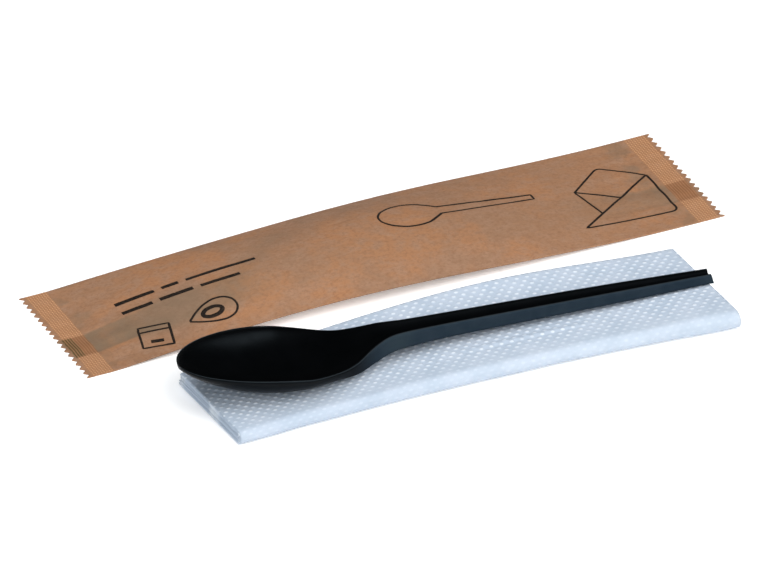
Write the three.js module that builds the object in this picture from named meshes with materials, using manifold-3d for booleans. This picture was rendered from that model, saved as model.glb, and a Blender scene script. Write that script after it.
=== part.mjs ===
// A take-away cutlery pack laid out on a table: a sealed kraft-paper sachet behind,
// and in front of it the folded tissue napkin with the moulded black spoon resting on it.
// Millimetres, +Z up, +X along the sachet, +Y towards its back edge.

import * as THREE from 'three';
import { LoftGeometry } from 'three/addons/geometries/LoftGeometry.js';
import { mergeVertices } from 'three/addons/utils/BufferGeometryUtils.js';
import Module from 'manifold-3d';

const wasm = await Module();
wasm.setup();

// Driving dimensions.

const restGap = 0.3; // air left between two pieces that touch

const sachet = {
  length: 215, // over the points of the teeth
  leftWidth: 49.6, // across the left seal
  rightWidth: 52.2, // across the right seal
  waist: 1.5, // how far each side draws in round the bowl of the spoon inside
  sealBand: 9.5, // flat crimped band, teeth included
  sealThickness: 0.5,
  teeth: 18,
  toothDepth: 1.5,
  edgeLift: 3.8, // height of the side folds where the sachet is fullest
  crown: 9.4, // height of the middle where the sachet is fullest
  fullestAt: 0.44, // share of the length
  waistAt: 0.3, // share of the length
  waistReach: 0.42,
  riseShape: 1.15, // exponent of the rise from the left seal
  crownShape: 0.8, // exponent of the crown's height along the sachet
  sag: 1.7, // the underside hangs this many times the height of the side folds below them
  overlap: 1, // the filled body runs this far into each seal
  behindMiddle: 17.6, // its centre line, from the layout's own middle
  stations: 30,
  pointsAcross: 14,
};

const napkin = {
  length: 165, // a 330 mm sheet folded once this way
  leftWidth: 39.6, // and three times this way
  rightWidth: 43.4,
  leftThickness: 4.6,
  rightThickness: 6.0,
  lowerLeaf: 0.5, // share of the thickness below the slit
  slitAtBack: 1.0, // the two leaves stand this far apart at the open back corners
  slitAtMiddle: 4.0, // and this far where the upper one springs up most
  springSkew: 1.3, // above 1 moves that place from half way towards the right
  slitAtFold: 0.15,
  foldDepth: 7, // solid layers between the slit and the round front fold
  upperSetback: 0.8, // the upper leaf stops this far short of the lower one at the back
  flatUntil: -0.2, // the top is flat from the fold to here, as a share of the half width
  shoulderAt: 0.35, // and climbs gently from there to a shoulder here
  shoulderRise: 0.3, // which has this share of the whole climb
  bow: 3.4, // the long edges curve this much towards the back at mid length
  lean: 0.085, // the ends are this far out of square with the long edges
  stations: 14,
  arcPoints: 9,
  middle: new THREE.Vector2(-0.7, -43.0), // centre of the sheet, from the sachet's centre line
  turn: -1.9, // degrees
};

const spoon = {
  length: 174.4,
  wall: 1.25,
  rimFlat: 0.9, // width of the level edge round the bowl and along the handle
  splay: 0.45, // the handle's side walls lean out this far at their foot
  bowlMiddle: 33, // where the bowl is widest, from its tip
  bowlHalfWidth: 17.1,
  skirtStarts: 38, // where the side walls begin to show under the bowl
  skirtFull: 66, // where the section has become the handle's open channel
  underShape: 0.95, // exponent of the round underside
  hollowShape: 1.3, // exponent of the hollow inside the bowl and along the handle
  leastDip: 0.05, // the hollow is never shallower than this
  narrowRim: 0.6, // near the tip the hollow keeps at least this share of the half width
  cornerWalk: [0, 1 / 3, 5 / 12, 7 / 12, 1], // where the channel's corners fall round its half
  blunt: 0.12, // the tip is cut off this short
  crowding: 1.55, // above 1 the stations crowd together round the bowl tip
  stations: 54,
  pointsUnder: 25,
  pointsOver: 15,
  bowlAlongNapkin: 0.2, // the bowl touches the napkin at this share of the napkin's length
  tip: new THREE.Vector2(-91.2, -37.35), // bowl tip, from the sachet's centre line
  turn: -3.5, // degrees
};

// Heights and half widths along the spoon, each as [distance from the bowl tip, value].
// Heights are above the lowest point of the bowl.
const rimHeightPoints = [
  [0, 12.8], [12, 11.8], [28, 9.8], [40, 7.5], [50, 6.0], [55, 6.1], [61, 7.8],
  [67, 9.1], [75, 8.95], [100, 7.95], [140, 6.1], [174.4, 4.25],
];
const troughHeightPoints = [
  [0, 12.7], [4, 10.2], [12, 6.3], [22, 2.9], [30, 1.6], [37, 1.25], [44, 1.6], [51, 3.0],
  [58, 5.2], [66, 7.25], [75, 7.5], [100, 6.6], [140, 4.8], [174.4, 3.1],
];
const neckHalfWidthPoints = [
  [33, 17.1], [38, 16.75], [46, 14.3], [54, 10.7], [61, 7.0], [68, 4.7], [76, 3.85],
  [100, 3.4], [124, 3.2], [148, 2.8], [174.4, 2.15],
];
const skirtHeightPoints = [
  [38, 2.4], [47, 4.2], [54, 5.1], [61, 5.1], [68, 4.9], [100, 4.35], [140, 3.75], [174.4, 2.85],
];

// Shared helpers.

function smooth(points) {
  const places = points.map((point) => point[0]);
  const values = points.map((point) => point[1]);
  const curve = new THREE.CubicInterpolant(places, values, 1, new Float32Array(1));
  return (place) => curve.evaluate(place)[0];
}

function ease(value, from, to) {
  return THREE.MathUtils.smoothstep(value, from, to);
}

// A closed geometry as a solid for joining.
function toSolid(geometry) {
  const bare = new THREE.BufferGeometry();
  bare.setAttribute('position', geometry.getAttribute('position'));
  bare.setIndex(geometry.getIndex());
  const merged = mergeVertices(bare, 1e-4);
  const triVerts = new Uint32Array(merged.index.array);
  const vertProperties = merged.attributes.position.array;
  return new wasm.Manifold(new wasm.Mesh({ numProp: 3, vertProperties, triVerts }));
}

function toGeometry(solid) {
  const { vertProperties, triVerts } = solid.getMesh();
  const geometry = new THREE.BufferGeometry();
  geometry.setAttribute('position', new THREE.BufferAttribute(vertProperties, 3));
  geometry.setIndex(new THREE.BufferAttribute(triVerts, 1));
  return geometry;
}

function makeMesh(name, geometry, color, roughness) {
  const shaded = geometry.toNonIndexed();
  shaded.computeVertexNormals();
  const material = new THREE.MeshStandardMaterial({ color, roughness, metalness: 0 });
  const mesh = new THREE.Mesh(shaded, material);
  mesh.name = name;
  return mesh;
}

// Kraft sachet: a filled paper tube, crimped flat at both ends.

// Rises from 0 at the left seal to 1 where the sachet is fullest and sinks to 0 at the right seal.
function fullness(share) {
  const peak = sachet.fullestAt;
  if (share < peak) return Math.pow(1 - Math.pow((peak - share) / peak, 2), sachet.riseShape);
  return 0.5 + 0.5 * Math.cos((Math.PI * (share - peak)) / (1 - peak));
}

function halfWidthOfSachet(share) {
  const flat = THREE.MathUtils.lerp(sachet.leftWidth, sachet.rightWidth, share) / 2;
  const away = Math.min(1, Math.abs(share - sachet.waistAt) / sachet.waistReach);
  return flat - sachet.waist * (0.5 + 0.5 * Math.cos(Math.PI * away));
}

function sachetSection(share) {
  const bodyLength = sachet.length - 2 * (sachet.sealBand - sachet.overlap);
  const x = (share - 0.5) * bodyLength;
  const half = halfWidthOfSachet(share);
  const full = fullness(share);
  const thin = sachet.sealThickness;
  const edge = sachet.edgeLift * full;
  const rise = (sachet.crown - thin - sachet.edgeLift) * Math.pow(full, sachet.crownShape);
  const sag = sachet.sag * edge;
  const under = [];
  const over = [];
  for (let i = 0; i <= sachet.pointsAcross; i++) {
    const across = -Math.cos((Math.PI * i) / sachet.pointsAcross);
    const bulge = 1 - across * across;
    under.push(new THREE.Vector3(x, across * half, Math.max(0, edge - sag * bulge)));
    over.push(new THREE.Vector3(x, across * half, edge + thin + rise * bulge));
  }
  return under.concat(over.reverse());
}

// A flat seal, cut to a zig-zag across its free end; side is -1 at the left and 1 at the right.
function sealSolid(side, width) {
  const outline = new THREE.Shape();
  const root = sachet.length / 2 - sachet.sealBand;
  const tip = sachet.length / 2;
  const pitch = width / sachet.teeth;
  outline.moveTo(side * root, -width / 2);
  for (let i = 0; i < sachet.teeth; i++) {
    const start = -width / 2 + i * pitch;
    outline.lineTo(side * tip, start);
    outline.lineTo(side * (tip - sachet.toothDepth), start + pitch / 2);
  }
  outline.lineTo(side * tip, width / 2);
  outline.lineTo(side * root, width / 2);
  outline.closePath();
  const options = { depth: sachet.sealThickness, bevelEnabled: false };
  return toSolid(new THREE.ExtrudeGeometry(outline, options));
}

function makeSachet() {
  const sections = [];
  for (let i = 0; i <= sachet.stations; i++) {
    const share = 0.5 - 0.5 * Math.cos((Math.PI * i) / sachet.stations);
    sections.push(sachetSection(share));
  }
  const body = toSolid(new LoftGeometry(sections, { capStart: true, capEnd: true }));
  const whole = body
    .add(sealSolid(-1, sachet.leftWidth))
    .add(sealSolid(1, sachet.rightWidth));
  return makeMesh('kraft_sachet', toGeometry(whole), 0x9d785e, 0.85);
}

// Napkin: one tissue sheet folded to a flat strip.

// The folded section: a round fold in front, and two leaves of layers parted by a slit that
// opens at the back. It runs once round, counterclockwise when looked at from the +X end.
function napkinSection(share) {
  const x = (share - 0.5) * napkin.length;
  const half = THREE.MathUtils.lerp(napkin.leftWidth, napkin.rightWidth, share) / 2;
  const thick = THREE.MathUtils.lerp(napkin.leftThickness, napkin.rightThickness, share);
  const shift = napkin.bow * (4 * share * (1 - share) - 0.5);
  const spring = 0.5 - 0.5 * Math.cos(2 * Math.PI * Math.pow(share, napkin.springSkew));
  const slit = THREE.MathUtils.lerp(napkin.slitAtBack, napkin.slitAtMiddle, spring);
  const lowerTop = thick * napkin.lowerLeaf - napkin.slitAtBack / 2;
  const backTop = thick + slit - napkin.slitAtBack;
  const radius = thick / 2;
  const outline = [
    [half, 0],
    [half, lowerTop],
    [napkin.foldDepth - half, radius - napkin.slitAtFold / 2],
    [napkin.foldDepth - half, radius + napkin.slitAtFold / 2],
    [half - napkin.upperSetback, lowerTop + slit],
    [half - napkin.upperSetback, backTop],
    [napkin.shoulderAt * half, THREE.MathUtils.lerp(thick, backTop, napkin.shoulderRise)],
    [napkin.flatUntil * half, thick],
  ];
  for (let i = 0; i <= napkin.arcPoints; i++) {
    const angle = Math.PI / 2 + (Math.PI * i) / napkin.arcPoints;
    outline.push([radius - half + radius * Math.cos(angle), radius + radius * Math.sin(angle)]);
  }
  return outline.map(([y, z]) => new THREE.Vector3(x - napkin.lean * y, y + shift, z));
}

function makeNapkin() {
  const sections = [];
  for (let i = 0; i <= napkin.stations; i++) sections.push(napkinSection(i / napkin.stations));
  const geometry = new LoftGeometry(sections, { capStart: true, capEnd: true });
  const mesh = makeMesh('napkin', geometry, 0xd9e0e6, 0.95);
  mesh.position.set(napkin.middle.x, napkin.middle.y, 0);
  mesh.rotation.z = THREE.MathUtils.degToRad(napkin.turn);
  return mesh;
}

// Spoon: one thin moulded wall, a bowl that runs out into an open channel.

const rimHeight = smooth(rimHeightPoints);
const troughHeight = smooth(troughHeightPoints);
const neckHalfWidth = smooth(neckHalfWidthPoints);
const skirtHeight = smooth(skirtHeightPoints);

function halfWidth(place) {
  if (place >= spoon.bowlMiddle) return neckHalfWidth(place);
  const away = 1 - place / spoon.bowlMiddle;
  return spoon.bowlHalfWidth * Math.sqrt(1 - away * away);
}

// Underside of the bowl: a round-bottomed curve from rim to rim.
function bowlUnder(turn, half, rim, depth) {
  return [-half * Math.cos(turn), rim - depth * Math.pow(Math.sin(turn), spoon.underShape)];
}

// Underside of the handle: down the outside of one wall, up its inside, across the roof of the
// channel and the same way back. turn runs from 0 to PI, as it does on the bowl.
function channelUnder(turn, half, rim, roof, skirt) {
  const foot = half + spoon.splay;
  const corners = [
    half, rim,
    foot, rim - skirt,
    foot - spoon.wall, rim - skirt,
    half - spoon.wall, roof,
    0, roof,
  ];
  const walk = new THREE.LinearInterpolant(spoon.cornerWalk, corners, 2);
  const [y, z] = walk.evaluate(1 - Math.abs(turn - Math.PI / 2) / (Math.PI / 2));
  return [turn < Math.PI / 2 ? -y : y, z];
}

function spoonSection(place) {
  const half = halfWidth(place);
  const rim = rimHeight(place);
  const trough = Math.min(troughHeight(place), rim - spoon.leastDip);
  const blend = ease(place, spoon.skirtStarts, spoon.skirtFull);
  const skirt = place < spoon.skirtStarts ? 0 : skirtHeight(place);
  const roof = trough - spoon.wall;
  const under = [];
  for (let i = 0; i < spoon.pointsUnder; i++) {
    const turn = (Math.PI * i) / (spoon.pointsUnder - 1);
    const [bowlY, bowlZ] = bowlUnder(turn, half, rim, rim - roof);
    const [channelY, channelZ] = channelUnder(turn, half, rim, roof, skirt);
    const y = THREE.MathUtils.lerp(bowlY, channelY, blend);
    const z = THREE.MathUtils.lerp(bowlZ, channelZ, blend);
    under.push(new THREE.Vector3(place, y, z));
  }
  const over = [];
  const inner = Math.max(spoon.narrowRim * half, half - spoon.rimFlat);
  for (let i = 0; i < spoon.pointsOver; i++) {
    const turn = (Math.PI * i) / (spoon.pointsOver - 1);
    const z = rim - (rim - trough) * Math.pow(Math.sin(turn), spoon.hollowShape);
    over.push(new THREE.Vector3(place, inner * Math.cos(turn), z));
  }
  return under.concat(over);
}

function makeSpoon() {
  const sections = [];
  for (let i = 0; i <= spoon.stations; i++) {
    const share = Math.pow(i / spoon.stations, spoon.crowding);
    const place = THREE.MathUtils.lerp(spoon.blunt, spoon.length, share);
    sections.push(spoonSection(place));
  }
  const geometry = new LoftGeometry(sections, { capStart: true, capEnd: true });
  const mesh = makeMesh('spoon', geometry, 0x17191c, 0.42);
  const { leftThickness, rightThickness } = napkin;
  const underBowl = THREE.MathUtils.lerp(leftThickness, rightThickness, spoon.bowlAlongNapkin);
  mesh.position.set(spoon.tip.x, spoon.tip.y, underBowl + restGap);
  mesh.rotation.z = THREE.MathUtils.degToRad(spoon.turn);
  return mesh;
}

// The whole pack, centred over the origin and standing on z = 0.

const layout = new THREE.Group();
const sachetMesh = makeSachet();
sachetMesh.position.y = sachet.behindMiddle;
layout.add(sachetMesh, makeNapkin(), makeSpoon());

const pack = new THREE.Group();
pack.add(layout);
const middle = new THREE.Box3().setFromObject(pack, true).getCenter(new THREE.Vector3());
layout.position.set(-middle.x, -middle.y, 0);

export default pack;
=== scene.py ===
import math

import bmesh
import bpy
from mathutils import Matrix, Vector, noise
from mathutils.bvhtree import BVHTree


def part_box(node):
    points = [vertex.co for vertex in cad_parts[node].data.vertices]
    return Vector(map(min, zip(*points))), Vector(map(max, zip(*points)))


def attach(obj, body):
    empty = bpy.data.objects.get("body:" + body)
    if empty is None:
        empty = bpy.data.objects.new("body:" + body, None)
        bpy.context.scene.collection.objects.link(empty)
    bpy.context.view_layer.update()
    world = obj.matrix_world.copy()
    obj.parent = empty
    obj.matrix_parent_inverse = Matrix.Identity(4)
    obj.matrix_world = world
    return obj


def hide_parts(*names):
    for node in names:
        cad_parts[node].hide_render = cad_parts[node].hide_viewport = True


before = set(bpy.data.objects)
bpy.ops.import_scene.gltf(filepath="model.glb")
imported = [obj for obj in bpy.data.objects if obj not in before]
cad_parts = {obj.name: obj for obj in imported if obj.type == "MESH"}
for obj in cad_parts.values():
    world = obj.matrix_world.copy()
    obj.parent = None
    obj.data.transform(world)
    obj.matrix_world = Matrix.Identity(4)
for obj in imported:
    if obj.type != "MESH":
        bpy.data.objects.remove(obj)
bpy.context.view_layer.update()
scene = bpy.context.scene
mm = 0.001


# Small tools
def mix(low, high, share):
    return low + (high - low) * share


def smoothStep(value, start, end):
    share = min(1.0, max(0.0, (value - start) / (end - start)))
    return share * share * (3 - 2 * share)


def bell(value, width):
    return math.exp(-(value / width) ** 2)


# A smooth curve through [place, value] pairs.
def throughPoints(pairs):
    def slope(i):
        before = pairs[max(i - 1, 0)]
        after = pairs[min(i + 1, len(pairs) - 1)]
        return (after[1] - before[1]) / (after[0] - before[0])

    def valueAt(place):
        i = 0
        while i < len(pairs) - 2 and place > pairs[i + 1][0]:
            i += 1
        span = pairs[i + 1][0] - pairs[i][0]
        t = (place - pairs[i][0]) / span
        left = pairs[i][1] * (1 + 2 * t) * (1 - t) ** 2 + slope(i) * span * t * (1 - t) ** 2
        right = pairs[i + 1][1] * t * t * (3 - 2 * t) + slope(i + 1) * span * t * t * (t - 1)
        return left + right

    return valueAt


# Evenly spread places for a run of stretches, each given as (start, end, how many steps).
def spread(stretches):
    places = [stretches[0][0]]
    for start, end, steps in stretches:
        places += [mix(start, end, (i + 1) / steps) for i in range(steps)]
    return places


# A closed two-sided shell: one grid is its outer face, the copy is its inner face, and the
# extrusion leaves walls all round. outerAt and innerAt place a grid point (column, row), in mm.
# Each point keeps its column and row in the attribute "grid", which the embossing reads.
def addShell(bm, columns, rows, outerAt, innerAt):
    gridLayer = bm.verts.layers.float_vector.get("grid") or bm.verts.layers.float_vector.new("grid")
    grid = bmesh.ops.create_grid(bm, x_segments=columns, y_segments=rows, size=0.5)["verts"]
    faces = list({face for vert in grid for face in vert.link_faces})
    lifted = bmesh.ops.extrude_face_region(bm, geom=faces)["geom"]
    lifted = [item for item in lifted if isinstance(item, bmesh.types.BMVert)]
    for verts, placeAt in ((grid, innerAt), (lifted, outerAt)):
        for vert in verts:
            column = round((vert.co.x + 0.5) * columns)
            row = round((vert.co.y + 0.5) * rows)
            vert.co = Vector(placeAt(column, row)) * mm
            vert[gridLayer] = (column, row, 0 if verts is grid else 1)


# Turns a finished mesh in plan and moves it so that its box sits where the CAD node's box is.
def seatOnNode(bm, node, turn=0.0):
    bmesh.ops.rotate(bm, verts=bm.verts, matrix=Matrix.Rotation(math.radians(turn), 3, "Z"))
    low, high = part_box(node)
    xs = [vert.co.x for vert in bm.verts]
    ys = [vert.co.y for vert in bm.verts]
    zs = [vert.co.z for vert in bm.verts]
    shift = Vector((
        (low.x + high.x - min(xs) - max(xs)) / 2,
        (low.y + high.y - min(ys) - max(ys)) / 2,
        low.z - min(zs),
    ))
    bmesh.ops.translate(bm, verts=bm.verts, vec=shift)


def finishPiece(bm, name, material, slot, *nodes):
    bmesh.ops.recalc_face_normals(bm, faces=bm.faces)
    for face in bm.faces:
        face.smooth = True
    mesh = bpy.data.meshes.new(name)
    bm.to_mesh(mesh)
    bm.free()
    mesh.materials.append(material)
    piece = bpy.data.objects.new(name, mesh)
    scene.collection.objects.link(piece)
    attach(piece, "root")
    if nodes:
        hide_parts(*nodes)
    return piece


# Materials
class Nodes:
    def __init__(self, name):
        self.material = bpy.data.materials.new(name)
        self.material.use_nodes = True
        self.tree = self.material.node_tree
        self.shader = self.tree.nodes["Principled BSDF"]
        place = self.tree.nodes.new("ShaderNodeTexCoord")
        self.place = place.outputs["Object"]

    def node(self, kind, settings=None, **sockets):
        made = self.tree.nodes.new(kind)
        for key, value in (settings or {}).items():
            setattr(made, key, value)
        for key, value in sockets.items():
            socket = made.inputs[int(key[1:])] if key[1:].isdigit() else made.inputs[key]
            self.feed(socket, value)
        return made

    def feed(self, socket, value):
        if isinstance(value, bpy.types.NodeSocket):
            self.tree.links.new(value, socket)
        else:
            socket.default_value = value

    def math(self, operation, first, second=0.0, third=0.0):
        settings = {"operation": operation}
        return self.node("ShaderNodeMath", settings, _0=first, _1=second, _2=third).outputs[0]

    def times(self, first, *others):
        for other in others:
            first = self.math("MULTIPLY", first, other)
        return first

    def noise(self, size, detail=3.0, roughness=0.5, stretch=(1, 1, 1)):
        moved = self.node("ShaderNodeMapping", Vector=self.place, Scale=stretch).outputs[0]
        settings = {"Scale": 1 / (size * mm), "Detail": detail, "Roughness": roughness}
        return self.node("ShaderNodeTexNoise", Vector=moved, **settings).outputs["Fac"]

    def ramp(self, value, start, end, low=0.0, high=1.0):
        made = self.node("ShaderNodeMapRange", {"interpolation_type": "SMOOTHSTEP"}, Value=value)
        for key, number in (("From Min", start), ("From Max", end), ("To Min", low), ("To Max", high)):
            made.inputs[key].default_value = number
        return made.outputs[0]

    # 1 between start and end, easing to 0 across soft at both.
    def band(self, value, start, end, soft):
        rise = self.ramp(value, start - soft / 2, start + soft / 2)
        return self.times(rise, self.ramp(value, end - soft / 2, end + soft / 2, 1.0, 0.0))

    def mixValue(self, share, first, second):
        made = self.node("ShaderNodeMix", {"data_type": "FLOAT"})
        for i, value in ((0, share), (2, first), (3, second)):
            self.feed(made.inputs[i], value)
        return made.outputs[0]

    # The column and row that addShell gave each point, and 1 on its outer face.
    def grid(self):
        return self.node("ShaderNodeAttribute", {"attribute_name": "grid"}).outputs["Vector"]

    # A cosine wave over the columns or rows: 1 at first, and at every so many steps from there.
    def gridWave(self, axis, steps, first=0):
        number = self.node("ShaderNodeSeparateXYZ", Vector=self.grid()).outputs[axis]
        turn = self.times(self.math("SUBTRACT", number, first), 2 * math.pi / steps)
        return self.math("COSINE", turn)

    # In a mix node, inputs 2 and 3 are numbers, and inputs 6 and 7 are colours.
    def blend(self, share, first, second):
        made = self.node("ShaderNodeMix", {"data_type": "RGBA"})
        for i, value in ((0, share), (6, first), (7, second)):
            self.feed(made.inputs[i], value)
        return made.outputs[2]

    def bump(self, height, strength, distance, normal=None):
        made = self.node("ShaderNodeBump", Height=height, Strength=strength, Distance=distance * mm)
        if normal:
            self.feed(made.inputs["Normal"], normal)
        return made.outputs[0]

    def surface(self, colour, roughness, mirror, normal=None):
        self.feed(self.shader.inputs["Base Color"], colour)
        self.feed(self.shader.inputs["Roughness"], roughness)
        self.feed(self.shader.inputs["Specular IOR Level"], mirror)
        if normal:
            self.feed(self.shader.inputs["Normal"], normal)
        return self.material


def rgb(red, green, blue):
    return (red, green, blue, 1.0)


kraftLook = {
    "base": rgb(0.280, 0.163, 0.100),
    "warm": rgb(0.366, 0.178, 0.088),
    "pale": rgb(0.332, 0.194, 0.122),
    "fleck": rgb(0.220, 0.106, 0.056),
    "fibre": rgb(0.13, 0.070, 0.040),
    # the back seam's darker tone, also the colour of the painted shade in dents and dips
    "seamAndShadeTone": rgb(0.160, 0.116, 0.076),
    "crimp": rgb(0.360, 0.168, 0.075),
    # painted highlight on the tops of the crimped dots
    "dot": rgb(0.560, 0.305, 0.160),
    "burnt": rgb(0.205, 0.082, 0.034),
    "olive": rgb(0.078, 0.058, 0.024),
    "cloudSize": 26.0,
    "patchSize": 4.5,
    "fleckSize": 1.1,
    "fibreSize": 0.55,
    # painted shade in the dents beside the seals: its patch size and strength
    "dentShadeSize": 8.0,
    "paintedDentShade": 0.38,
    # the back seam's strip, from the back edge, where it is crisp and where it is soft
    "seamCrisp": (28.6, 39.4),
    "seamSoft": (26.6, 41.0),
    "seamWobble": 2.0,
    "seamAtLeft": 0.85,
    "seamAtRight": 0.55,
    "seamBetween": 0.09,
    # a slanting shade: its strength, its middle from the left end and the back edge, its turn in
    # degrees, and its half length and half width
    "slant": 0.27,
    "slantAt": (70.0, 21.0),
    "slantTurn": 36.0,
    "slantHalf": (16.0, 3.0),
    "oliveBand": (1.6, 4.8),
    "roughness": 0.82,
    "mirror": 0.25,
}


# Where a point of the sachet lies, and how far it is on the seam or in a crimped band.
class KraftPlaces:
    def __init__(self, n):
        look = kraftLook
        low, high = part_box("kraft_sachet")
        axes = n.node("ShaderNodeSeparateXYZ", Vector=n.place)
        self.fromLeft = n.math("SUBTRACT", axes.outputs[0], low.x)
        self.fromRight = n.math("SUBTRACT", high.x, axes.outputs[0])
        self.fromEnd = n.math("MINIMUM", self.fromLeft, self.fromRight)
        fromBack = n.math("SUBTRACT", high.y, axes.outputs[1])
        wobble = n.times(n.math("SUBTRACT", n.noise(24), 0.5), look["seamWobble"] * mm)
        self.fromBack = n.math("ADD", fromBack, wobble)
        start, end = look["seamCrisp"]
        self.onSeam = n.band(self.fromBack, start * mm, end * mm, 1.2 * mm)
        margin, crimp = sachetShape["margin"], sachetShape["crimp"]
        self.crimped = n.band(self.fromEnd, margin * mm, (margin + crimp) * mm, 0.4 * mm)


def kraftGround(n, places, fibres):
    look = kraftLook
    clouds = n.ramp(n.noise(look["cloudSize"], 5.0, 0.6), 0.38, 0.62)
    atLeft = n.ramp(places.fromLeft, 12 * mm, 45 * mm, 0.5, 0.0)
    atRight = n.ramp(places.fromRight, 20 * mm, 115 * mm, 0.6, 0.0)
    atEnds = n.math("MAXIMUM", atLeft, atRight)
    colour = n.blend(n.math("MAXIMUM", clouds, atEnds), look["base"], look["warm"])
    patches = n.ramp(n.noise(look["patchSize"], 4.0, 0.6, (1, 1.4, 1)), 0.40, 0.68, 0.0, 0.8)
    colour = n.blend(patches, colour, look["pale"])
    flecks = n.ramp(n.noise(look["fleckSize"], 3.0, 0.65), 0.42, 0.72, 0.0, 0.45)
    colour = n.blend(flecks, colour, look["fleck"])
    return n.blend(n.ramp(fibres, 0.25, 0.75, 0.0, 0.20), colour, look["fibre"])


# The doubled strip of the back seam shows through, clearest near both ends.
def seamShade(n, places, colour):
    look = kraftLook
    start, end = look["seamSoft"]
    soft = n.band(places.fromBack, start * mm, end * mm, 5.5 * mm)
    strip = n.mixValue(n.ramp(places.fromEnd, 16 * mm, 36 * mm), places.onSeam, soft)
    between = look["seamBetween"]
    leftShow = n.ramp(places.fromLeft, 40 * mm, 75 * mm, look["seamAtLeft"], between)
    rightShow = n.ramp(places.fromRight, 12 * mm, 50 * mm, look["seamAtRight"], between)
    cloudy = n.ramp(n.noise(12, 3.0), 0.3, 0.7, 0.6, 1.0)
    inBody = n.ramp(places.fromEnd, 8 * mm, 10 * mm, 0.6, 1.0)
    shade = n.times(strip, n.math("MAXIMUM", leftShow, rightShow), cloudy, inBody)
    return n.blend(shade, colour, look["seamAndShadeTone"])


# Painted shade in dents where the paper runs into the flat seals.
def dentShade(n, places, colour):
    look = kraftLook
    paintedDentShade = n.ramp(n.noise(look["dentShadeSize"], 2.0), 0.45, 0.62, 0.0, look["paintedDentShade"])
    besideSeal = n.band(places.fromEnd, 9 * mm, 17 * mm, 7 * mm)
    return n.blend(n.times(paintedDentShade, besideSeal), colour, look["seamAndShadeTone"])


# Painted shade where the paper dips aslant between the napkin and the bowl inside.
def slantShade(n, places, colour):
    look = kraftLook
    right, front = look["slantAt"]
    halfLength, halfWidth = look["slantHalf"]
    turn = math.radians(look["slantTurn"])
    along = n.math("SUBTRACT", places.fromLeft, right * mm)
    down = n.math("SUBTRACT", places.fromBack, front * mm)
    aside = n.math("ADD", n.times(along, math.sin(turn)), n.times(down, math.cos(turn)))
    onward = n.math("SUBTRACT", n.times(along, math.cos(turn)), n.times(down, math.sin(turn)))
    acrossIt = n.band(aside, -halfWidth * mm, halfWidth * mm, 9 * mm)
    alongIt = n.band(onward, -halfLength * mm, halfLength * mm, 14 * mm)
    return n.blend(n.times(acrossIt, alongIt, look["slant"]), colour, look["seamAndShadeTone"])


# The crimped bands are rubbed to a warmer tone, with a painted highlight on the tops of their dots. On
# the seam the crimps are ridges, burnt darker, and olive beside the left margin.
def crimpColours(n, places, colour):
    look = kraftLook
    s = sachetShape
    colour = n.blend(n.times(places.crimped, 0.45), colour, look["crimp"])
    alongWave = n.ramp(n.gridWave(0, s["stepsPerDot"], s["marginSteps"]), 0.5, -0.6)
    acrossWave = n.ramp(n.gridWave(1, s["stepsPerDot"]), 0.5, -0.6)
    offSeam = n.math("SUBTRACT", 1.0, places.onSeam)
    # painted highlight on the dot tops, off the seam
    dots = n.times(alongWave, acrossWave, places.crimped, offSeam, 0.8)
    colour = n.blend(dots, colour, look["dot"])
    ridges = n.times(places.onSeam, places.crimped, n.ramp(alongWave, 0.2, 0.8, 0.75, 0.15))
    colour = n.blend(ridges, colour, look["burnt"])
    start, end = look["oliveBand"]
    atMargin = n.band(places.fromLeft, start * mm, end * mm, 0.5 * mm)
    olive = n.times(places.onSeam, atMargin, n.ramp(alongWave, 0.2, 0.8, 0.9, 0.2))
    return n.blend(olive, colour, look["olive"])


def kraftPaper():
    look = kraftLook
    n = Nodes("kraft paper")
    places = KraftPlaces(n)
    fibres = n.noise(look["fibreSize"], 3.0, 0.65, (0.35, 1, 1))
    colour = kraftGround(n, places, fibres)
    for addTo in (seamShade, dentShade, slantShade, crimpColours):
        colour = addTo(n, places, colour)
    grain = n.bump(fibres, 0.45, 0.07)
    cockle = n.bump(n.noise(2.4, 4.0, 0.6), 0.4, 0.3, grain)
    return n.surface(colour, look["roughness"], look["mirror"], cockle)


inkLook = {
    "dark": rgb(0.010, 0.008, 0.007),
    "wearAndPaintedLight": rgb(0.030, 0.020, 0.014),
    "roughness": 0.7,
    "mirror": 0.2,
}


def printInk():
    look = inkLook
    n = Nodes("print ink")
    # the ink is worn unevenly
    wearAndPaintedLight = n.ramp(n.noise(0.7, 2.0), 0.35, 0.75)
    colour = n.blend(wearAndPaintedLight, look["dark"], look["wearAndPaintedLight"])
    return n.surface(colour, look["roughness"], look["mirror"])


tissueLook = {
    "base": (rgb(0.382, 0.452, 0.545), rgb(0.445, 0.507, 0.598)),
    "crepe": rgb(0.34, 0.40, 0.49),
    # painted highlight on the embossed dots
    "dot": rgb(0.68, 0.73, 0.79),
    # painted light on the rounded fold
    "wearAndPaintedLight": rgb(0.50, 0.57, 0.65),
    "cloudSize": 9.0,
    "crepeSize": 0.5,
    "roughness": 0.9,
    "mirror": 0.2,
}


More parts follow.
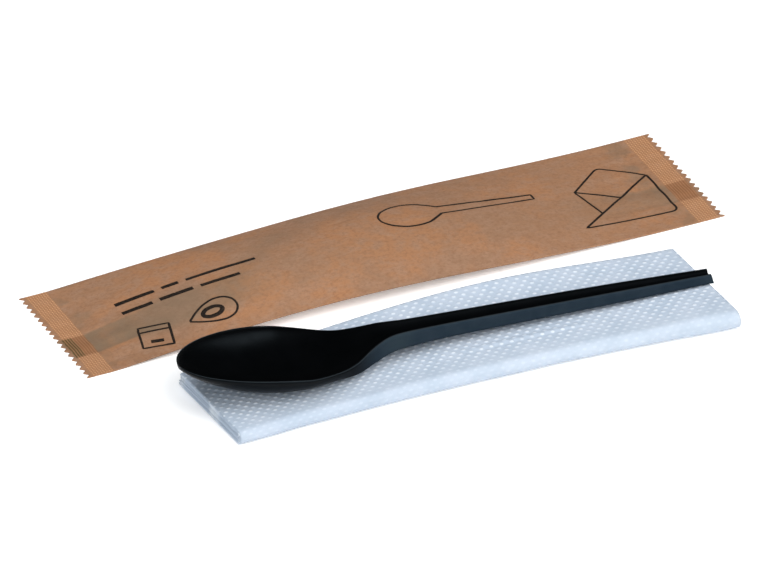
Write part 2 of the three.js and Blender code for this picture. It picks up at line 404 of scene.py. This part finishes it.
def tissue():
    s = napkinShape
    look = tissueLook
    n = Nodes("tissue")
    colour = n.blend(n.ramp(n.noise(look["cloudSize"], 3.0), 0.3, 0.7), *look["base"])
    crepe = n.noise(look["crepeSize"], 3.0, 0.6, (1, 0.4, 1))
    colour = n.blend(n.ramp(crepe, 0.3, 0.7, 0.0, 0.2), colour, look["crepe"])
    # painted light: the rounded fold, which faces the key light, is painted paler, most towards the
    # right end
    foldStarts = s["upperDots"] * s["stepsPerDot"]
    row = n.node("ShaderNodeSeparateXYZ", Vector=n.grid()).outputs[1]
    uneven = n.ramp(n.noise(3.0, 3.0), 0.3, 0.7, 0.4, 0.9)
    onFold = n.ramp(row, foldStarts - 12, foldStarts + 8, 0.0, 0.6)
    along = n.node("ShaderNodeSeparateXYZ", Vector=n.place).outputs[0]
    wearAndPaintedLight = n.times(onFold, uneven, n.ramp(along, -60 * mm, 60 * mm, 0.3, 1.0))
    colour = n.blend(wearAndPaintedLight, colour, look["wearAndPaintedLight"])
    # embossed dots with a painted highlight on their tops, which fade out over the fold
    wave = n.times(n.gridWave(0, s["stepsPerDot"]), 2 - s["dotStretch"])
    wave = n.math("MULTIPLY_ADD", n.gridWave(1, s["stepsPerDot"]), s["dotStretch"], wave)
    dots = n.ramp(n.math("ABSOLUTE", wave), 1.2, 1.9)
    kept = n.times(dots, n.ramp(row, foldStarts - 14, foldStarts + 6, 1.0, 0.2))
    colour = n.blend(n.times(kept, uneven), colour, look["dot"])
    fine = n.bump(crepe, 0.45, 0.08)
    pressed = n.bump(kept, 0.6, 0.15, fine)
    cockle = n.bump(n.noise(2.2, 3.0), 0.35, 0.25, pressed)
    return n.surface(colour, look["roughness"], look["mirror"], cockle)


plasticLook = {
    "inside": (rgb(0.0005, 0.0007, 0.0009), rgb(0.0010, 0.0012, 0.0015)),
    # painted reflection on the handle's side walls
    "satin": (rgb(0.0120, 0.0215, 0.0320), rgb(0.0165, 0.0265, 0.0375)),
    # painted highlight where the walls flare at the neck
    "neck": rgb(0.0185, 0.0295, 0.0385),
    # painted highlight along the rim
    "rim": rgb(0.032, 0.041, 0.048),
    "bowlRoughness": (0.33, 0.39),
    "handleRoughness": 0.6,
    "mirror": 0.06,
    "satinAndSheenStarts": 50.0,  # in columns of the spoon's grid
    "satinAndSheenFull": 59.0,
}


def blackPlastic():
    look = plasticLook
    n = Nodes("black plastic")
    axes = n.node("ShaderNodeSeparateXYZ", Vector=n.grid())
    column, face = axes.outputs[0], axes.outputs[2]
    clouds = n.ramp(n.noise(11, 3.0), 0.3, 0.7)
    inside = n.blend(clouds, *look["inside"])
    # painted reflection: the handle's side walls are painted paler and bluish, as if mirroring the pale
    # floor, with a painted highlight where they flare at the neck
    satin = n.blend(n.ramp(n.noise(5, 3.0), 0.3, 0.7), *look["satin"])
    neckHighlightShare = n.band(column, look["satinAndSheenFull"], look["satinAndSheenFull"] + 4, 6)
    satin = n.blend(neckHighlightShare, satin, look["neck"])
    under = n.math("SUBTRACT", 1.0, n.ramp(face, 0.0, 0.6))
    wallSheenShare = n.times(under, n.ramp(column, look["satinAndSheenStarts"], look["satinAndSheenFull"], 0.06, 1.0))
    colour = n.blend(wallSheenShare, inside, satin)
    # a painted highlight along the rim, where the upper and lower faces meet
    rim = n.times(n.band(face, 0.2, 0.8, 0.3), 0.6)
    colour = n.blend(rim, colour, look["rim"])
    # the bowl is smooth, the handle duller
    smoothBowl = n.ramp(n.noise(4, 4.0), 0.3, 0.7, *look["bowlRoughness"])
    onHandle = n.ramp(column, look["satinAndSheenStarts"] - 4, look["satinAndSheenFull"])
    roughness = n.mixValue(onHandle, smoothBowl, look["handleRoughness"])
    grain = n.bump(n.noise(0.25, 2.0), 0.12, 0.02)
    return n.surface(colour, roughness, look["mirror"], grain)


# Kraft sachet: a filled paper tube, crimped flat at both ends
sachetShape = {
    "leftWidth": 49.6,
    "rightWidth": 52.2,
    "waist": 1.5,  # how far the sides draw in
    "waistAt": 0.3,
    "waistReach": 0.42,
    "margin": 2.0,  # plain paper outside each crimped band
    "crimp": 7.0,
    "teeth": 18,
    "toothDepth": 1.5,
    "paper": 0.24,
    "edgeLift": 3.8,
    "crown": 9.2,
    "fullestAt": 0.44,
    "sag": 1.7,
    "riseShape": 1.15,
    "crownShape": 0.8,
    "stepsPerTooth": 12,
    "stepsPerDot": 4,
    "dotRows": 8,
    "dotHeight": 0.16,
    "bodySteps": 108,
    "marginSteps": 6,
    "seamStart": 29.3,  # the back seam, from the back edge
    "seamEnd": 38.8,
    "swell": 0.45,
    "ripple": 0.12,
    "fold": 0.16,
    "pucker": 0.3,  # where the filled part runs into a seal
    "puckerAt": 0.035,
    "puckerReach": 0.06,
}


def fullness(share):
    peak = sachetShape["fullestAt"]
    if share < peak:
        return (1 - ((peak - share) / peak) ** 2) ** sachetShape["riseShape"]
    return 0.5 + 0.5 * math.cos(math.pi * (share - peak) / (1 - peak))


def sachetHalfWidth(share):
    s = sachetShape
    flat = mix(s["leftWidth"], s["rightWidth"], share) / 2
    away = min(1.0, abs(share - s["waistAt"]) / s["waistReach"])
    return flat - s["waist"] * (0.5 + 0.5 * math.cos(math.pi * away))


def sachetCreases(x, y, share, full):
    s = sachetShape
    swell = noise.noise(Vector((x / 34, y / 22, 3.1))) * s["swell"]
    ripple = noise.noise(Vector((x / 11, y / 8, 8.4))) * s["ripple"]
    fold = abs(noise.noise(Vector((x / 26 + y / 40, y / 15 - x / 90, 5.5))))
    fromSeal = min(share, 1 - share)
    pucker = math.cos(y / 1.35 + 2.2 * noise.noise(Vector((y / 9, x / 30, 1.7))))
    pucker *= s["pucker"] * bell(fromSeal - s["puckerAt"], s["puckerReach"])
    pucker *= 0.4 + noise.noise(Vector((y / 7, 0, 2.0)))
    return (swell + ripple - s["fold"] * bell(fold, 0.07)) * full ** 0.6 + pucker


def makeSachet():
    s = sachetShape
    low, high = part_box("kraft_sachet")
    length = (high.x - low.x) / mm
    half = length / 2
    seal = s["margin"] + s["crimp"]
    columns = s["teeth"] * s["stepsPerTooth"]
    bandSteps = s["dotRows"] * s["stepsPerDot"]
    places = spread([
        (-half, -half + s["margin"], s["marginSteps"]),
        (-half + s["margin"], -half + seal, bandSteps),
        (-half + seal, half - seal, s["bodySteps"]),
        (half - seal, half - s["margin"], bandSteps),
        (half - s["margin"], half, s["marginSteps"]),
    ])
    rows = len(places) - 1
    dotPitch = s["crimp"] / s["dotRows"]

    def spot(column, row, layer):
        x = places[column]
        along = row / columns * 2 - 1
        share = min(1.0, max(0.0, (x + half - seal) / (length - 2 * seal)))
        y = along * sachetHalfWidth(share)
        full = fullness(share)
        fromEnd = half - abs(x)
        # zig-zag cut
        outward = max(0.0, 1 - fromEnd / s["margin"])
        tooth = 1 - abs(2 * ((row / s["stepsPerTooth"]) % 1) - 1)
        cutX = x - math.copysign(s["toothDepth"] * tooth * outward, x)
        # filled body
        edge = s["edgeLift"] * full
        bulge = 1 - along * along
        creases = sachetCreases(x, y, share, full) * min(1.0, 3 * bulge)
        if layer == "top":
            rise = (s["crown"] - 2 * s["paper"] - s["edgeLift"]) * full ** s["crownShape"]
            z = edge + 2 * s["paper"] + rise * bulge
            z = max(z + creases, edge + 1.2 * s["paper"])
        else:
            z = max(0.0, edge - s["sag"] * edge * bulge)
        # crimped dots, or ridges where the seam makes the paper thicker
        if seal > fromEnd > s["margin"]:
            fromBack = sachetHalfWidth(share) - y
            waveX = 0.5 - 0.5 * math.cos(2 * math.pi * (fromEnd - s["margin"]) / dotPitch)
            waveY = 0.5 - 0.5 * math.cos(2 * math.pi * row / s["stepsPerDot"])
            onSeam = s["seamStart"] < fromBack < s["seamEnd"]
            z += s["dotHeight"] * (waveX if onSeam else waveX * waveY)
        return cutX, y, z

    bm = bmesh.new()
    addShell(bm, rows, columns,
             lambda column, row: spot(column, row, "top"),
             lambda column, row: spot(column, row, "bottom"))
    seatOnNode(bm, "kraft_sachet")
    surface = BVHTree.FromBMesh(bm)
    finishPiece(bm, "kraft_sachet_paper", kraftPaper(), "kraft_paper", "kraft_sachet")
    return surface


# Print on the sachet: plain bars and line drawings. A sign's "at" is its place from the left end
# and from the back edge, and its own points run to the right and to the front of that.
printShape = {
    "line": 0.82,  # width of a drawn line
    "step": 0.7,
    "inkLift": 0.05,
    "barRows": [(21.2, (13.0, 5.5, 23.0)), (26.6, (10.0, 11.0, 13.0))],  # place, then lengths
    "barStart": 23.0,
    "barGap": 2.5,
    "barWidth": 1.6,
    "barSlope": 0.03,
    "box": {"at": (27.2, 41.8), "turn": 14.0, "half": 4.8, "lid": -2.4, "slot": (2.0, 2.4)},
    "drop": {"at": (47.0, 40.2), "turn": -7.0, "half": (8.1, 5.9), "ring": (3.4, 1.9)},
    "spoon": {"at": (122.4, 20.7), "turn": 1.2, "half": (9.6, 6.9), "open": 40.0,
              "neck": (10.3, 2.2), "end": (41.8, 1.3)},
    "napkin": {"at": (178.0, 23.0), "turn": 0.0, "top": (13.0, -11.5), "right": (25.5, -2.0),
               "tip": (-5.5, 20.0), "corner": (25.5, 20.5), "rounding": 2.2, "crossings": (0.42, 0.73)},
}


def placed(sign, points):
    turn = math.radians(sign["turn"])
    right, front = sign["at"]
    return [(right + x * math.cos(turn) - y * math.sin(turn),
             front + x * math.sin(turn) + y * math.cos(turn)) for x, y in points]


def oval(half, start=0.0, end=360.0, steps=10):
    angles = [math.radians(mix(start, end, i / steps)) for i in range(steps + 1)]
    return [(half[0] * math.cos(angle), half[1] * math.sin(angle)) for angle in angles]


# A drop with its point to the left.
def dropOutline(half, steps=12):
    turns = [2 * math.pi * i / steps for i in range(steps + 1)]
    return [(-half[0] * math.cos(turn), half[1] * math.sin(turn) * math.sin(turn / 2)) for turn in turns]


# Leaves both sides at radius from the corner and curves from one to the other.
def roundedCorner(before, corner, after, radius, steps=4):
    middle = Vector(corner)
    start = middle + (Vector(before) - middle).normalized() * radius
    end = middle + (Vector(after) - middle).normalized() * radius
    shares = [i / steps for i in range(steps + 1)]
    return [tuple(start.lerp(middle, t).lerp(middle.lerp(end, t), t)) for t in shares]


class Print:
    def __init__(self, name, surface, material):
        self.name = name
        self.surface = surface
        self.material = material
        self.bm = bmesh.new()
        low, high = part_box("kraft_sachet")
        self.corner = Vector((low.x, high.y, 0.0))

    # One stroke through points given as (from the left end, from the back edge), in mm: a smooth
    # curve, or straight runs cut into short steps so that they can follow the paper.
    def stroke(self, points, width, closed=False, smooth=True):
        curve = bpy.data.curves.new(self.name, "CURVE")
        curve.dimensions = "3D"
        curve.bevel_depth = width / 2 * mm
        curve.bevel_resolution = 1
        curve.resolution_u = 24
        curve.use_fill_caps = True
        knots = [Vector((right, -front, 0.0)) * mm for right, front in points]
        if smooth:
            spline = curve.splines.new("BEZIER")
            spline.bezier_points.add(len(knots) - 1)
            for knot, place in zip(spline.bezier_points, knots):
                knot.co = place
                knot.handle_left_type = knot.handle_right_type = "AUTO"
        else:
            ends = knots[1:] + knots[:1] if closed else knots[1:]
            places = [knots[0]]
            for start, end in zip(knots, ends):
                steps = max(1, round((end - start).length / (printShape["step"] * mm)))
                places += [start.lerp(end, (i + 1) / steps) for i in range(steps)]
            if closed:
                places.pop()
            spline = curve.splines.new("POLY")
            spline.points.add(len(places) - 1)
            for point, place in zip(spline.points, places):
                point.co = (*place, 1.0)
        spline.use_cyclic_u = closed
        holder = bpy.data.objects.new(self.name, curve)
        scene.collection.objects.link(holder)
        bpy.context.view_layer.update()
        evaluated = holder.evaluated_get(bpy.context.evaluated_depsgraph_get())
        mesh = bpy.data.meshes.new_from_object(evaluated)
        self.bm.from_mesh(mesh)
        bpy.data.objects.remove(holder)
        bpy.data.meshes.remove(mesh)

    # Presses the strokes flat and lays them on the paper, half above it and half below.
    def finish(self):
        lift = printShape["inkLift"] * mm
        bmesh.ops.remove_doubles(self.bm, verts=self.bm.verts, dist=1e-6)
        for vert in self.bm.verts:
            spot = vert.co + self.corner
            hit = self.surface.ray_cast(Vector((spot.x, spot.y, 1.0)), Vector((0, 0, -1)))[0]
            vert.co = Vector((spot.x, spot.y, hit.z + (lift if vert.co.z > 0 else -lift)))
        return finishPiece(self.bm, self.name, self.material, "print_ink")


def makePrint(surface):
    p = printShape
    line = p["line"]
    ink = printInk()

    bars = Print("print_bars", surface, ink)
    for rowFront, lengths in p["barRows"]:
        start = p["barStart"]
        for length in lengths:
            places = [start, start + length / 2, start + length]
            points = [(x, rowFront + p["barSlope"] * (x - p["barStart"])) for x in places]
            bars.stroke(points, p["barWidth"])
            start += length + p["barGap"]
    bars.finish()

    signs = Print("print_signs", surface, ink)
    box = p["box"]
    half = box["half"]
    signs.stroke(placed(box, [(-half, -half), (half, -half), (half, half), (-half, half)]),
                 line, closed=True, smooth=False)
    signs.stroke(placed(box, [(-half, box["lid"]), (half, box["lid"])]), line, smooth=False)
    slotHalf, slotFront = box["slot"]
    slot = [(-slotHalf, slotFront), (slotHalf, slotFront)]
    signs.stroke(placed(box, slot), p["barWidth"], smooth=False)
    drop = p["drop"]
    signs.stroke(placed(drop, dropOutline(drop["half"])), line)
    signs.stroke(placed(drop, oval(drop["ring"], steps=8)[:-1]), 2 * line, closed=True)
    signs.finish()

    spoonDrawing = Print("print_spoon_outline", surface, ink)
    spoon = p["spoon"]
    neck, neckHalf = spoon["neck"]
    end, endHalf = spoon["end"]
    bowl = oval(spoon["half"], -spoon["open"], spoon["open"] - 360)
    spoonDrawing.stroke(placed(spoon, [(neck, -neckHalf), *bowl, (neck, neckHalf)]), line)
    handle = [(neck, -neckHalf), (end, -endHalf), (end, endHalf), (neck, neckHalf)]
    spoonDrawing.stroke(placed(spoon, handle), line, smooth=False)
    spoonDrawing.finish()

    napkinDrawing = Print("print_napkin_outline", surface, ink)
    napkin = p["napkin"]
    left = (0.0, 0.0)
    top, right, tip, corner = (napkin[name] for name in ("top", "right", "tip", "corner"))
    outline = [left, *roundedCorner(left, top, right, napkin["rounding"]), right, tip,
               *roundedCorner(tip, corner, right, napkin["rounding"]), right]
    napkinDrawing.stroke(placed(napkin, outline), line, smooth=False)
    upper, lower = (tuple(Vector(right).lerp(Vector(tip), share)) for share in napkin["crossings"])
    napkinDrawing.stroke(placed(napkin, [upper, left, lower]), line, smooth=False)
    napkinDrawing.finish()


# Napkin: one tissue sheet folded into sixteen layers
napkinShape = {
    "leftWidth": 39.6,
    "rightWidth": 43.4,
    "leftThickness": 4.6,
    "rightThickness": 6.0,
    "length": 165.0,
    "layers": 8,  # sheets in each leaf, so twice as many in all
    "sheet": 0.26,
    "squeeze": 1.0,  # thinner by this much at the open back than at the fold
    "curl": 2.5,  # above 1 keeps the leaves together until close to the back
    "slitAtEnds": 1.0,
    "slitAtMiddle": 4.0,
    "springSkew": 1.3,
    "foldDepth": 7.0,
    "setback": 0.8,
    "bow": 3.4,
    "lean": 0.085,
    "turn": -1.9,
    "untidyBack": 0.35,  # how unevenly the sheets end at the open back
    "untidyEnds": 0.12,
    "dotsAlong": 49,
    "upperDots": 12,
    "foldDots": 3,
    "stepsPerDot": 6,
    "dotHeight": 0.3,
    "dotSlope": (0.9, 2.0),  # where on the wave a dot starts and is full
    "dotsFade": (0.72, 1.05),  # on the way to the fold
    "dotStretch": 1.32,  # above 1 makes the dots longer along the napkin
    "swell": 0.3,
    "creaseHeight": 0.45,
    "creaseAt": 0.74,  # share of the way from the back edge to the fold
    "creaseWidth": 0.016,
    "creaseStart": 0.46,  # shares of the length
    "creaseEnd": 0.76,
    "innerSteps": 10,
    "innerColumns": 30,
}


def makeNapkin():
    s = napkinShape
    halfSheet = s["sheet"] / 2

    # Where the folded sheet number layer runs: path goes from 0 at the back edge of the upper
    # leaf, over 1 at the start of the fold and 2 at its end, to 3 at the back of the lower leaf.
    def onSheet(layer, share, path, side):
        half = mix(s["leftWidth"], s["rightWidth"], share) / 2
        thick = mix(s["leftThickness"], s["rightThickness"], share)
        spring = 0.5 - 0.5 * math.cos(2 * math.pi * share ** s["springSkew"])
        slit = mix(s["slitAtEnds"], s["slitAtMiddle"], spring)
        radius = thick / 2
        foldY = radius - half
        untidy = s["untidyBack"] * math.sin(7.3 * layer + 1.1)
        if 1 <= path <= 2:
            angle = math.pi * (path - 0.5)
            reach = radius - (layer + 0.5) * thick / (2 * s["layers"]) + side * halfSheet
            return foldY + reach * math.cos(angle), radius + reach * math.sin(angle)
        upper = path < 1
        back = half - (s["setback"] if upper else 0.0) - abs(untidy)
        toBack = 1 - path if upper else path - 2
        y = mix(foldY, back, toBack)
        opened = max(0.0, (y + half - s["foldDepth"]) / (back + half - s["foldDepth"])) ** s["curl"]
        pitch = (thick - s["squeeze"] * opened) / (2 * s["layers"])
        if upper:
            z = 2 * s["layers"] * pitch + slit * opened - (layer + 0.5) * pitch
        else:
            z = (layer + 0.5) * pitch
        return y, z + (side if upper else -side) * halfSheet

    def spot(layer, share, path, side, lift=0.0):
        y, z = onSheet(layer, share, path, side)
        facing = math.pi * (max(path, 1) - 0.5)
        y += lift * math.cos(facing)
        z += lift * math.sin(facing)
        endShift = s["untidyEnds"] * math.sin(5.1 * layer + 0.4)
        x = (share - 0.5) * (s["length"] - 0.5) + endShift
        bow = s["bow"] * (4 * share * (1 - share) - 0.5)
        return x - s["lean"] * y, y + bow, z

    bm = bmesh.new()
    for layer in range(s["layers"]):
        outermost = layer == 0
        fine = s["stepsPerDot"]
        if outermost:
            upperSteps = s["upperDots"] * fine
            foldSteps = s["foldDots"] * fine
            columns = s["dotsAlong"] * fine
        else:
            upperSteps = foldSteps = s["innerSteps"]
            columns = s["innerColumns"]
        paths = spread([(0, 1, upperSteps), (1, 2, foldSteps), (2, 3, s["innerSteps"])])
        rows = len(paths) - 1

        def lift(column, row):
            if not outermost or paths[row] > 2:
                return 0.0
            share = column / columns
            path = paths[row]
            wave = (2 - s["dotStretch"]) * math.cos(2 * math.pi * column / fine)
            wave += s["dotStretch"] * math.cos(2 * math.pi * row / fine)
            dot = smoothStep(abs(wave), *s["dotSlope"])
            dot *= mix(1.0, 0.15, smoothStep(path, *s["dotsFade"]))
            swell = noise.noise(Vector((share * 9, path * 2.4, 4.2))) * s["swell"]
            crease = s["creaseHeight"] * bell(path - s["creaseAt"] - 0.05 * share, s["creaseWidth"])
            crease *= smoothStep(share, s["creaseStart"], s["creaseStart"] + 0.09)
            crease *= smoothStep(share, s["creaseEnd"], s["creaseEnd"] - 0.08)
            edge = min(1.0, 12 * path, 30 * share, 30 * (1 - share))
            return (s["dotHeight"] * dot + swell + crease) * edge

        addShell(bm, columns, rows,
                 lambda column, row: spot(layer, column / columns, paths[row], 1, lift(column, row)),
                 lambda column, row: spot(layer, column / columns, paths[row], -1))
    seatOnNode(bm, "napkin", s["turn"])
    piece = finishPiece(bm, "napkin_sheet", tissue(), "tissue", "napkin")


# Spoon: a bowl that runs out into an open channel
spoonShape = {
    "length": 173.8,
    "wall": 1.25,
    "rimFlat": 0.9,
    "splay": 0.45,
    "endLean": 0.22,
    "flare": 0.7,  # the foot of the walls reaches out this much more at the neck
    "flareAt": 68.0,
    "flareReach": 11.0,
    "bowlMiddle": 33.0,
    "bowlHalfWidth": 17.1,
    "skirtStarts": 38.0,
    "skirtFull": 66.0,
    "turn": -3.5,
    "columns": 110,
    "rows": 32,
    "blunt": 0.12,  # where the first column lies
    "crowding": 1.55,  # above 1 crowds the columns towards the bowl's tip
    "narrowRim": 0.6,
    "leastDip": 0.05,
    "hollowShape": 1.3,
    "underShape": 0.95,
    "endReach": 5.0,
    "cornerWalk": [0, 5 / 16, 7 / 16, 10 / 16, 1],  # where the channel's corners fall
    # [place from the bowl tip, height above the bowl's lowest point]
    "rim": [(0, 12.8), (12, 11.8), (28, 9.8), (40, 7.5), (50, 6.0), (55, 6.1), (61, 7.8), (67, 9.1),
            (75, 8.95), (100, 7.95), (140, 6.1), (174.4, 4.25)],
    "trough": [(0, 12.7), (4, 10.2), (12, 6.3), (22, 2.9), (30, 1.6), (37, 1.25), (44, 1.6), (51, 3.0),
               (58, 5.2), (66, 7.25), (75, 7.5), (100, 6.6), (140, 4.8), (174.4, 3.1)],
    "neck": [(33, 17.1), (38, 16.75), (46, 14.3), (54, 10.7), (61, 7.0), (68, 4.7), (76, 3.85),
             (100, 3.4), (124, 3.2), (148, 2.8), (174.4, 2.15)],
    "skirt": [(38, 2.4), (47, 4.2), (54, 5.1), (61, 5.1), (68, 4.9), (100, 4.35), (140, 3.75),
              (174.4, 2.85)],
}


def makeSpoon():
    s = spoonShape
    rimAt = throughPoints(s["rim"])
    troughAt = throughPoints(s["trough"])
    neckAt = throughPoints(s["neck"])
    skirtAt = throughPoints(s["skirt"])
    corners = s["cornerWalk"]
    columns, rows = s["columns"], s["rows"]

    def placeOf(column):
        return mix(s["blunt"], s["length"], (column / columns) ** s["crowding"])

    def halfAt(place):
        if place >= s["bowlMiddle"]:
            return neckAt(place)
        return s["bowlHalfWidth"] * math.sqrt(1 - (1 - place / s["bowlMiddle"]) ** 2)

    def upper(column, row):
        place = placeOf(column)
        turn = math.pi * row / rows
        half = halfAt(place)
        inner = max(s["narrowRim"] * half, half - s["rimFlat"])
        rim = rimAt(place)
        trough = min(troughAt(place), rim - s["leastDip"])
        return place, -inner * math.cos(turn), rim - (rim - trough) * math.sin(turn) ** s["hollowShape"]

    # The cut end leans out towards its foot.
    def leaned(place, y, z):
        lean = s["endLean"] * smoothStep(place, s["length"] - s["endReach"], s["length"])
        return place + lean * (rimAt(place) - z), y, z

    def lower(column, row):
        place = placeOf(column)
        turn = math.pi * row / rows
        half = halfAt(place)
        rim = rimAt(place)
        roof = min(troughAt(place), rim - s["leastDip"]) - s["wall"]
        bowlY = -half * math.cos(turn)
        bowlZ = rim - (rim - roof) * math.sin(turn) ** s["underShape"]
        blendShare = smoothStep(place, s["skirtStarts"], s["skirtFull"])
        if not blendShare:
            return place, bowlY, bowlZ
        skirt = skirtAt(place)
        foot = half + s["splay"] + s["flare"] * bell(place - s["flareAt"], s["flareReach"])
        path = [(half, rim), (foot, rim - skirt), (foot - s["wall"], rim - skirt),
                (half - s["wall"], roof), (0, roof)]
        walk = 1 - abs(turn - math.pi / 2) / (math.pi / 2)
        i = max(k for k in range(4) if walk >= corners[k])
        share = (walk - corners[i]) / (corners[i + 1] - corners[i])
        y = mix(path[i][0], path[i + 1][0], share)
        z = mix(path[i][1], path[i + 1][1], share)
        if turn < math.pi / 2:
            y = -y
        return leaned(place, mix(bowlY, y, blendShare), mix(bowlZ, z, blendShare))

    bm = bmesh.new()
    addShell(bm, columns, rows, upper, lower)
    gridLayer = bm.verts.layers.float_vector["grid"]
    creaseLayer = bm.edges.layers.float.new("crease_edge")
    for edge in bm.edges:
        if all(vert[gridLayer].x == columns for vert in edge.verts):
            edge[creaseLayer] = 1.0  # keeps the cut end square
    seatOnNode(bm, "spoon", s["turn"])
    piece = finishPiece(bm, "spoon_moulding", blackPlastic(), "black_plastic", "spoon")
    smooth = piece.modifiers.new("smooth", "SUBSURF")
    smooth.levels = smooth.render_levels = 1


# Stage, light and camera
stageSetup = {
    "azimuth": -25.75,
    "elevation": 32.5,
    "lens": 900.0,
    "frameWidth": 0.23415,  # what the frame spans at the aim point, in metres
    "aim": (-0.00429, 0.01298, 0.0),
    "floor": rgb(0.93, 0.93, 0.93),
    "floorSize": 4.0,
    "floorRoughness": 0.9,
    "glow": rgb(0.96, 0.98, 1.0),
    "glowStrength": 0.22,  # a glowing table keeps shadows light
    "world": rgb(0.93, 0.96, 1.0),
    "worldStrength": 0.06,
    # place, size, power and colour
    "softboxes": {
        "key": ((0.6, -1.75, 1.7), 3.0, 84.0, (1.0, 0.99, 0.97)),
        "top": ((-0.3, 0.1, 2.4), 2.4, 31.0, (0.96, 0.98, 1.0)),
        "left": ((-2.2, -0.5, 0.9), 1.6, 24.0, (0.96, 0.98, 1.0)),
        "sheen": ((1.05, -1.1, 1.35), 1.2, 20.0, (0.72, 0.88, 1.0)),
    },
    "mirroredOnly": "sheen",  # lights nothing, but shows as a sheen on the plastic
}


def makeCamera():
    s = stageSetup
    data = bpy.data.cameras.new("camera")
    data.sensor_width = 36.0
    data.lens = s["lens"]
    distance = s["frameWidth"] * s["lens"] / data.sensor_width
    azimuth, elevation = math.radians(s["azimuth"]), math.radians(s["elevation"])
    back = Vector((math.sin(azimuth), -math.cos(azimuth), math.tan(elevation))).normalized()
    data.clip_start = 0.5
    data.clip_end = 30.0
    camera = bpy.data.objects.new("camera", data)
    camera.location = Vector(s["aim"]) + back * distance
    camera.rotation_mode = "QUATERNION"
    camera.rotation_quaternion = (-back).to_track_quat("-Z", "Y")
    scene.collection.objects.link(camera)
    scene.camera = camera


def addSoftbox(name, place, size, power, colour):
    mirrored = name == stageSetup["mirroredOnly"]
    data = bpy.data.lights.new(name, "AREA")
    data.shape = "DISK"
    data.size = size
    data.energy = power
    data.color = colour
    light = bpy.data.objects.new(name, data)
    light.location = place
    light.visible_glossy = mirrored
    light.visible_diffuse = not mirrored
    light.rotation_mode = "QUATERNION"
    light.rotation_quaternion = (-Vector(place)).to_track_quat("-Z", "Y")
    scene.collection.objects.link(light)


def makeStage():
    s = stageSetup
    bm = bmesh.new()
    bmesh.ops.create_grid(bm, x_segments=1, y_segments=1, size=s["floorSize"])
    mesh = bpy.data.meshes.new("floor")
    bm.to_mesh(mesh)
    bm.free()
    n = Nodes("pale floor")
    n.feed(n.shader.inputs["Emission Color"], s["glow"])
    n.feed(n.shader.inputs["Emission Strength"], s["glowStrength"])
    mesh.materials.append(n.surface(s["floor"], s["floorRoughness"], 0.0))
    floor = bpy.data.objects.new("floor", mesh)
    scene.collection.objects.link(floor)

    world = bpy.data.worlds.new("studio")
    world.use_nodes = True
    background = world.node_tree.nodes["Background"]
    background.inputs["Color"].default_value = s["world"]
    background.inputs["Strength"].default_value = s["worldStrength"]
    scene.world = world
    scene.view_settings.view_transform = "Standard"

    for name, settings in s["softboxes"].items():
        addSoftbox(name, *settings)


makeCamera()
makeStage()
print("stage and camera ready")
sachetSurface = makeSachet()
print("sachet ready")
makePrint(sachetSurface)
print("print ready")
makeNapkin()
print("napkin ready")
makeSpoon()
print("spoon ready")
